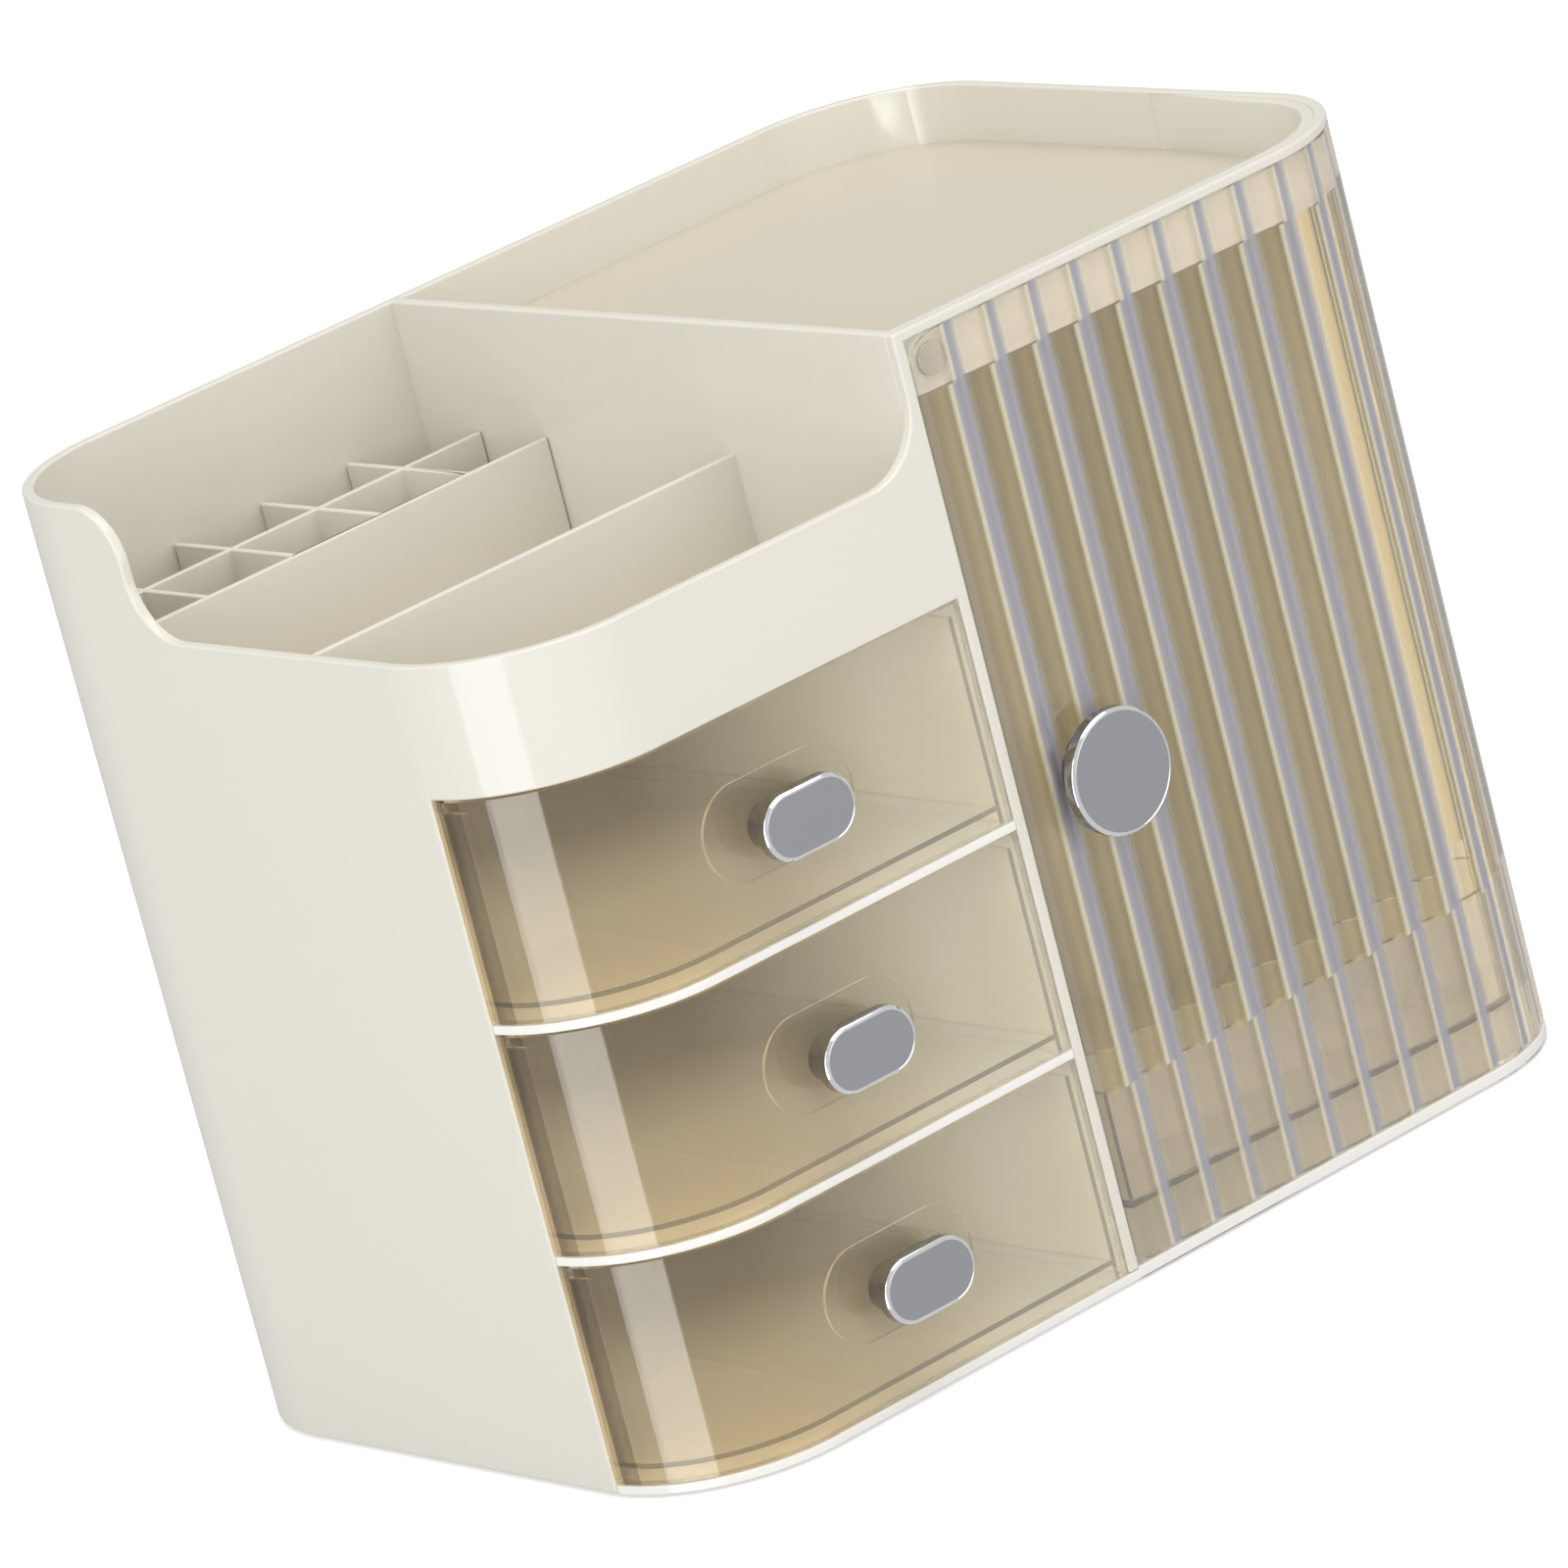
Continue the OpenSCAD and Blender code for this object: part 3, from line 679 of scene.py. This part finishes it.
left_low = block((-1, -1, LOW_RIM), (41, LOW_END_Y, CASE_H + 1))
round_edges(left_low, 15, 20, lambda a, b: min(a.y, b.y) > 132 and max(a.z, b.z) < 208)
left_top = block((-1, LOW_END_Y - 0.1, SWEEP_Z), (41, LOW_END_Y + SWEEP_R, CASE_H + 1))
cut(left_top, rod((20, LOW_END_Y + SWEEP_R, SWEEP_Z), SWEEP_R, 60, "X", steps=128))
front_low = block((20, -1, LOW_RIM), (POST_X, 41, CASE_H + 1))
round_edges(front_low, 17, 20, lambda a, b: min(a.x, b.x) > 134 and max(a.z, b.z) < 208)
cut(shell, left_low, left_top, front_low)

cut(shell, block((-1, -1, -1), (POST_X, 36, DECK_Z)))
cut(shell, block((POST_X - 1, -1, -1), (POST_RIGHT + 1, 4, 2.4)))
cut(shell, block((POST_RIGHT, -1, -1), (CASE_W + 1, 46.1, 237.4)))
cut(shell, rod((*HINGE, 237.6), PIN_HOLE_R, 2.8, "Z", steps=24))
soften(shell, 0.7)
dress(shell, "case_moulding", "case_shell", "case", "cream_plastic", CREAM)

# %% [markdown]
# ## The flat panels
#
# The divider, the two shelves, the compartment's floor, the partition and the base are
# flat panels. Each is a block with the case's outline on it where it meets the wall, and
# flush with the outside where its edge shows between the drawers. Those edges get the
# whiter cream, a painted highlight.

# %% Divider, partition and compartment floor
divider = soften(block((POST_X, WALL_T - 0.4, 2.4), (POST_RIGHT, 191, CASE_H)), 0.7)
dress(divider, "divider_panel", "centre_divider", "case", "cream_plastic", CREAM)

partition = soften(block((2.4, 70, 176.6), (135.6, 72, 207)), 0.6)
dress(partition, "partition_panel", "compartment_partition", "case", "cream_plastic", CREAM)

deck = outline(2.9, DECK_Z, 177)
cut(deck, block((POST_X, -1, 170), (CASE_W + 1, CASE_D + 1, 180)))
soften(deck, 0.3)
# The compartment's floor takes the darker cream, which is painted shade.
dress(deck, "compartment_deck", "compartment_floor", "case", "cream_plastic", PAINTED_SHADE_CREAM)

# %% Shelves between the drawers


def bay_plate(low_z, high_z):
    """A shelf left of the divider, flush at the front and inside the wall behind."""
    plate = outline(0, low_z, high_z)
    cut(plate, block((POST_X, -1, low_z - 1), (CASE_W + 1, CASE_D + 1, high_z + 1)))
    waste = block((-1, 35.8, low_z - 1), (POST_X + 1, CASE_D + 1, high_z + 1))
    cut(waste, outline(3.2, low_z - 2, high_z + 2))
    return cut(plate, waste)


def paint_front_highlight(panel, depth):
    """Gives a panel's upright faces the second finish, a whiter cream that is a painted
    highlight, as far back as the given depth.
    """
    for face in panel.data.polygons:
        if abs(face.normal.z) < 0.8 and on_drawing(face.center).y < depth:
            face.material_index = 1


for node, low_z in zip(("drawer_shelf_lower", "drawer_shelf_upper"), BAY_FLOORS[1:]):
    shelf = soften(bay_plate(low_z - SHELF_T, low_z), 0.45)
    dress(shelf, node + "_panel", node, "case", "cream_plastic", CREAM, PAINTED_HIGHLIGHT_CREAM)
    # The shelf's front edge gets the whiter cream, a painted highlight.
    paint_front_highlight(shelf, 37)

# %% Base with the sill under the door
base = outline(0, 0, SHELF_T)
for low, high in (((-1, 35.8, -1), (150, CASE_D + 1, 4)),
                  ((149, 45.9, -1), (CASE_W + 1, CASE_D + 1, 4))):
    waste = block(low, high)
    cut(waste, outline(3.2, -2, 5))
    cut(base, waste)
sill = outline(0, 0, SILL_Z)
cut(sill, outline(5, -1, 8))
cut(sill, block((-1, -1, -1), (POST_RIGHT, CASE_D + 1, 8)))
cut(sill, block((POST_RIGHT - 1, 45.9, -1), (CASE_W + 1, CASE_D + 1, 8)))
add(base, sill)
cut(base, rod((*HINGE, SILL_Z - 0.2), PIN_HOLE_R, 4, "Z", steps=24))
FEET = [(x, y) for x in (26, CASE_W - 26) for y in (26, CASE_D - 26)]
for x, y in FEET:
    cut(base, rod((x, y, 0), 6.2, 1.6, "Z"))
soften(base, 0.4)
dress(base, "base_panel", "base_plate", "case", "cream_plastic", CREAM, PAINTED_HIGHLIGHT_CREAM)
# The base's front edges and the sill get the whiter cream, a painted highlight.
paint_front_highlight(base, 47)

# %% [markdown]
# ## The feet
#
# Four round rubber pads sit in recesses under the base. One disc is modelled with a
# rounded lower edge and a shallow ring in its face, and the other three are copies
# joined to it, because one part of the construction stands for all four.

# %% Rubber feet
pads = []
for x, y in FEET:
    pad = rod((x, y, 0), 6, 1.6, "Z")
    cut(pad, cut(rod((x, y, -0.8), 4.2, 0.3, "Z"), rod((x, y, -0.8), 3.4, 1, "Z")))
    pads.append(pad)
only(pads[0])
for pad in pads[1:]:
    pad.select_set(True)
bpy.ops.object.join()
soften(pads[0], 0.25)
dress(pads[0], "rubber_feet", "feet", "case", "foot_rubber", RUBBER)

# %% [markdown]
# ## The lipstick grid
#
# The grid is a loose tray of ten cells with a thin floor. Two long walls and four
# cross walls stand on the floor, and the case's rounded outline trims its back corner.
# It is built as one block of walls and then kept inside the outline.

# %% Lipstick grid
GRID_LOW, GRID_TOP = 177.3, LOW_RIM
grid = block((0, 141, GRID_LOW), (134.6, 190, GRID_LOW + 1.4))
for y in (141, 167):
    add(grid, block((0, y, GRID_LOW), (134.6, y + 1.8, GRID_TOP)))
for i in range(4):
    x = 109.9 - i * 27.4
    add(grid, block((x - 0.9, 142, GRID_LOW + 0.5), (x + 0.9, 190, GRID_TOP)))
keep(grid, outline(3.4, GRID_LOW - 1, GRID_TOP + 1))
soften(grid, 0.45)
dress(grid, "lipstick_cells", "lipstick_grid", "grid", "cream_plastic", CREAM)

# %% [markdown]
# ## The top tray
#
# The tray's floor lies a finger's width below the rim. Along the front a rail rises
# behind the top of the door, up to just under the rim, and it thins out along the right
# wall.

# %% Tray over the cabinet
TRAY_Z, RAIL_TOP = 223, 239.6


def along_rim(run, inset):
    """A place on the case's outline from the post round to the right wall, moved in."""
    flat = CASE_W - CORNER_R - POST_RIGHT
    if run <= flat:
        return POST_RIGHT + run, inset
    turn = (run - flat) / CORNER_R
    middle = CASE_W - CORNER_R
    if turn <= math.pi / 2:
        r = CORNER_R - inset
        return middle + r * math.sin(turn), CORNER_R - r * math.cos(turn)
    return CASE_W - inset, CORNER_R + (turn - math.pi / 2) * CORNER_R


def ribbon(pairs, low_z, high_z):
    """An upright wall: a grid of one row on pairs of plan points, extruded upwards."""
    bpy.ops.object.select_all(action="DESELECT")
    bpy.ops.mesh.primitive_grid_add(x_subdivisions=len(pairs) - 1, y_subdivisions=1, size=1)
    made = bpy.context.object
    rows = sorted(made.data.vertices, key=lambda v: (round(v.co.x, 6), v.co.y))
    for i, (one, other) in enumerate(pairs):
        rows[2 * i].co = at(*one, low_z)
        rows[2 * i + 1].co = at(*other, low_z)
    only(made)
    bpy.ops.object.mode_set(mode="EDIT")
    bpy.ops.mesh.select_all(action="SELECT")
    bpy.ops.mesh.extrude_region_move(
        TRANSFORM_OT_translate={"value": (0, 0, (high_z - low_z) / 1000)})
    bpy.ops.mesh.select_all(action="SELECT")
    bpy.ops.mesh.normals_make_consistent(inside=False)
    bpy.ops.object.mode_set(mode="OBJECT")
    return made


tray = outline(2.9, TRAY_Z, TRAY_Z + 2)
cut(tray, block((-1, -1, 200), (POST_RIGHT, CASE_D + 1, 250)))
corner_run = CASE_W - CORNER_R - POST_RIGHT + CORNER_R * math.pi / 2
wall_pairs = []
for i in range(101):
    run = (corner_run + 45) * i / 100
    thin = min(max((run - corner_run) / 45, 0), 1)
    thin = thin * thin * (3 - 2 * thin)
    wall_pairs.append((along_rim(run, 2.9), along_rim(run, 6 - 3.06 * thin)))
rail = soften(ribbon(wall_pairs, TRAY_Z + 0.1, RAIL_TOP), 0.4)
MAGNET = (146, 230.4)
cut(rail, rod((MAGNET[0], 3.4, MAGNET[1]), 4.02, 2.8, "Y"))
soften(tray, 0.1, 2)
only(tray)
rail.select_set(True)
bpy.ops.object.join()
dress(tray, "tray_moulding", "top_tray", "case", "cream_plastic", CREAM, PAINTED_SHADE_CREAM)
# The tray's floor takes the darker cream, which is painted shade.
for face in tray.data.polygons:
    if face.normal.z > 0.9 and abs(on_drawing(face.center).z - TRAY_Z - 2) < 0.3:
        face.material_index = 1

# %% [markdown]
# ## The drawers
#
# A drawer is one clear moulding: a front that follows the rounded corner, a tub behind
# it on two low runners, and a thick pad behind the pull. The front, a solid joint and
# the tub are joined, then hollowed from above and from below. The top drawer is modelled
# and copied twice, each copy with its own mesh moved down to its bay.

# %% Clear drawer
FRONT_T, FRONT_RIGHT, FRONT_END_Y = 3.2, 134.6, 35.6
KNOB_X = 70.5
TUB_IN, TUB_RIGHT, TUB_WALL = 3.6, 133.4, 1.2
TUB_FLOOR, UNDER_FLOOR = 4.7, 3.4
BACK_GAP = 6


def drawer_plan(inset, right_x, low_z, high_z):
    """The drawer's plan, moved in by an amount, with its back corner rounded."""
    plan = outline(inset, low_z, high_z)
    for vert in plan.data.vertices:
        vert.co.y -= BACK_GAP / 1000
    keep(plan, outline(FRONT_T, low_z, high_z))
    return cut(plan, block((right_x, -10, low_z - 1), (CASE_W + 1, CASE_D + 1, high_z + 1)))


def stadium(x, y, z, width, height, depth, steps=64):
    """A flat oval block with its front at y, made of a disc whose halves move apart."""
    obj = rod((x, y + depth / 2, z), height / 2, depth, "Y", steps=steps)
    only(obj)
    bpy.ops.object.mode_set(mode="EDIT")
    bpy.ops.mesh.select_mode(type="VERT")
    for side in (-1, 1):
        bpy.ops.mesh.select_all(action="DESELECT")
        mesh = bmesh.from_edit_mesh(obj.data)
        for vert in mesh.verts:
            vert.select = (on_drawing(vert.co).x - x) * side > -0.001 * side
        bmesh.update_edit_mesh(obj.data)
        bpy.ops.transform.translate(value=(side * (width - height) / 2000, 0, 0))
    bpy.ops.object.mode_set(mode="OBJECT")
    return obj


def knob_height(z):
    """The height of a drawer's pull over the drawing's zero, for a bay floor at z."""
    return z + BAY_H / 2 - 0.5


def clear_drawer(z, knob_z):
    """One drawer whose bay floor is at z."""
    top, low, high = z + BAY_H - 4, z + 0.4, z + BAY_H - 0.4
    body, joint = outline(0, low, high), outline(0, low, top)
    cut(body, outline(FRONT_T, low - 1, high + 1))
    for shape, right_x in ((body, FRONT_RIGHT), (joint, TUB_RIGHT)):
        cut(shape, block((right_x, -1, z - 1), (CASE_W + 1, CASE_D + 1, high + 1)))
        cut(shape, block((-1, FRONT_END_Y, z - 1), (FRONT_RIGHT + 0.1, CASE_D + 1, high + 1)))
    add(body, joint, drawer_plan(TUB_IN, TUB_RIGHT, z + 0.3, top))
    inside = TUB_IN + TUB_WALL, TUB_RIGHT - TUB_WALL
    hollow = drawer_plan(*inside, z + TUB_FLOOR, high + 1)
    cut(hollow, stadium(KNOB_X, 2.2, knob_z, 46, 24, 2.0))
    under = drawer_plan(*inside, z - 1, z + UNDER_FLOOR)
    hole = rod((KNOB_X, 3, knob_z), 1.6, 10, "Y")
    return cut(body, hollow, under, hole)


drawer = smooth_clear(clear_drawer(BAY_FLOORS[2], knob_height(BAY_FLOORS[2])))
for place, low_z in zip(("top", "middle", "bottom"), reversed(BAY_FLOORS)):
    piece = drawer
    if place != "top":
        piece = drawer.copy()
        piece.data = drawer.data.copy()
        piece.parent = None
        scene.collection.objects.link(piece)
        piece.data.materials.clear()
        piece.data.transform(Matrix.Translation((0, 0, (low_z - BAY_FLOORS[2]) / 1000)))
    dress(piece, f"clear_drawer_{place}", f"drawer_{place}", f"{place}_drawer",
          "clear_plastic", CLEAR)

# %% [markdown]
# ## The reeded door
#
# The door is a clear sheet that wraps round the corner, with upright reeds on its
# outside like a row of long lenses. Its plan is a ribbon: one side follows the smooth
# inside, the other rises and falls with the reeds. A grid primitive of one row is laid
# on that ribbon and extruded up to the door's height.

# %% Ribbon of the door's plan
DOOR_LEFT, DOOR_LOW, DOOR_TOP, DOOR_T = 138.6, 3.4, 237.0, 3.0
REED_W, REED_H, GROOVE_SINK = 13.6, 1.4, 0.15
STEPS_PER_REED = 20


def reed_depth(run):
    """How far the outside lies behind the reeds' crests at a distance along the door."""
    across = (run / REED_W) % 1 - 0.5
    radius = REED_W ** 2 / (8 * REED_H) + REED_H / 2
    fall = radius - math.sqrt(radius ** 2 - (across * REED_W) ** 2)
    return min(fall, REED_H - GROOVE_SINK)


def ribbon_points(run):
    """The inside and the outside point of the door's plan at a distance along it."""
    from_post = run + DOOR_LEFT - POST_RIGHT
    return along_rim(from_post, DOOR_T), along_rim(from_post, reed_depth(run))


door_run = CASE_W - CORNER_R - DOOR_LEFT + CORNER_R * math.pi / 2 + HINGE[1] - CORNER_R
columns = int(door_run / REED_W * STEPS_PER_REED)
plan_points = [ribbon_points(door_run * i / columns) for i in range(columns + 1)]
nose_y = HINGE[1]
for step in range(1, 9):
    angle = step * math.radians(10)
    rise, half = 1.5 * math.sin(angle), 1.5 * math.cos(angle)
    outer_half = min(half, CASE_W - HINGE[0] - reed_depth(door_run))
    plan_points.append(((HINGE[0] - half, nose_y + rise), (HINGE[0] + outer_half, nose_y + rise)))
print("the door's ribbon has", len(plan_points), "columns over", round(door_run, 1), "mm")

# %% Reeded door from the ribbon
door = ribbon([(outside, inside) for inside, outside in plan_points], DOOR_LOW, DOOR_TOP)
for corner_z, radius, way in ((DOOR_TOP, 8, -1), (DOOR_LOW, 4, 1)):
    middle_z = corner_z + way * radius
    low_z, high_z = sorted((corner_z - way, middle_z))
    waste = block((DOOR_LEFT - 1, -1, low_z), (DOOR_LEFT + radius, 4, high_z))
    cut(waste, rod((DOOR_LEFT + radius, 1, middle_z), radius, 12, "Y", steps=128))
    cut(door, waste)
cut(door, rod((MAGNET[0], 3, MAGNET[1]), 4.02, 2.84, "Y"))
KNOB_DOOR = (162.5, 121.0)
cut(door, rod((KNOB_DOOR[0], 1, KNOB_DOOR[1]), 1.6, 8, "Y"))
cut(door, rod((*HINGE, DOOR_TOP - 4), 0.77, 10, "Z", steps=24))
cut(door, rod((*HINGE, DOOR_LOW + 4), 0.77, 10, "Z", steps=24))
smooth_clear(door, 18)


def run_at(place):
    """The distance along the door's outside of a place on the drawing."""
    if place.x <= CASE_W - CORNER_R:
        return place.x - DOOR_LEFT
    if place.y >= CORNER_R:
        return CASE_W - CORNER_R - DOOR_LEFT + CORNER_R * math.pi / 2 + place.y - CORNER_R
    turn = math.atan2(place.x - CASE_W + CORNER_R, CORNER_R - place.y)
    return CASE_W - CORNER_R - DOOR_LEFT + CORNER_R * turn


reeds = door.data.attributes.new("reed_count", "FLOAT", "POINT")
for vert in door.data.vertices:
    reeds.data[vert.index].value = run_at(on_drawing(vert.co)) / REED_W + 1
dress(door, "reeded_door", "cabinet_door", "door", "clear_plastic", CLEAR, REEDED)


def faces_out(face):
    """Whether a face of the door belongs to the reeds' side."""
    place = on_drawing(face.center)
    turn = min(max(run_at(place) - (CASE_W - CORNER_R - DOOR_LEFT), 0) / CORNER_R, math.pi / 2)
    return face.normal.dot(Vector((math.sin(turn), -math.cos(turn), 0))) > 0.5


for face in door.data.polygons:
    face.material_index = 1 if faces_out(face) else 0

# %% [markdown]
# ## The pocket inside the door
#
# A clear bin is bonded to the inside of the door near its foot. Its front follows the
# door round the corner, and its back is straight.

# %% Door pocket
POCKET_LOW, POCKET_TOP, POCKET_WALL = 16, 45.4, 1.6


def pocket_plan(wall, low_z, high_z):
    """The pocket's plan between two heights, moved in by a wall's thickness."""
    shape = outline(3.2 + wall, low_z, high_z)
    cut(shape, block((-1, -1, 0), (142.6 + wall, CASE_D + 1, high_z + 1)))
    return cut(shape, block((140, 31 - wall, 0), (CASE_W + 1, CASE_D + 1, high_z + 1)))


pocket = pocket_plan(0, POCKET_LOW, POCKET_TOP)
cut(pocket, pocket_plan(POCKET_WALL, POCKET_LOW + POCKET_WALL, 60))
smooth_clear(pocket)
dress(pocket, "pocket_moulding", "door_pocket", "door", "clear_plastic", CLEAR)

# %% [markdown]
# ## The pulls
#
# Each pull is a plated head on a narrower neck. The head's front edge is cut to a wide
# bright bevel, and the face inside it is sunk by a hair and brushed. The drawers have
# oval heads and the door a round one.

# %% Oval and round pulls


def pull(head, neck, name, node, body):
    """Raises a head's face with a wide bevel round it, joins the neck and finishes it."""
    only(head)
    bpy.ops.object.mode_set(mode="EDIT")
    bpy.ops.mesh.select_mode(type="FACE")
    bpy.ops.mesh.select_all(action="DESELECT")
    mesh = bmesh.from_edit_mesh(head.data)
    for face in mesh.faces:
        face.select = face.normal.y < -0.9
    bmesh.update_edit_mesh(head.data)
    bpy.ops.mesh.inset(thickness=0.0007, depth=0.0007)
    bpy.ops.mesh.inset(thickness=0.0002, depth=-0.00015)
    bpy.ops.object.mode_set(mode="OBJECT")
    add(head, neck)
    soften(head, 0.12, 2, 34)
    dress(head, name, node, body, "knob_chrome", RIM, EDGE, FACE)
    # Sides and neck take the darker plating, a painted dark reflection; the flat face takes the
    # brushed metal.
    for face in head.data.polygons:
        if face.normal.y > -0.3:
            face.material_index = 1
        elif face.normal.y < -0.999 and face.area > 0.00005:
            face.material_index = 2
    return head


for place, low_z in zip(("top", "middle", "bottom"), reversed(BAY_FLOORS)):
    z = knob_height(low_z)
    head = stadium(KNOB_X, 0.7 - KNOB_OUT, z, 28, 16.5, 2.9)
    neck = stadium(KNOB_X, -7, z, 23.6, 12.1, 7)
    pull(head, neck, f"oval_pull_{place}", f"drawer_knob_{place}", f"{place}_drawer")

head = rod((KNOB_DOOR[0], 2.15 - KNOB_OUT, KNOB_DOOR[1]), 15.5, 2.9, "Y", steps=96)
neck = rod((KNOB_DOOR[0], -3.5, KNOB_DOOR[1]), 11.1, 7, "Y", steps=96)
pull(head, neck, "round_pull", "door_knob", "door")

# %% [markdown]
# ## Screws, pins and magnets
#
# The small metal pieces are right in the construction already. They keep its shape and
# get their finish.

# %% Finish on the small metal pieces
SMALL = ["knob_screw_bottom", "knob_screw_middle", "knob_screw_top", "door_knob_screw",
         "hinge_pin_upper", "hinge_pin_lower", "door_magnet", "catch_magnet"]
for name in SMALL:
    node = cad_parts[name]
    node.data.materials.clear()
    node.data.materials.append(STEEL)
print("finished", len(SMALL), "small pieces")
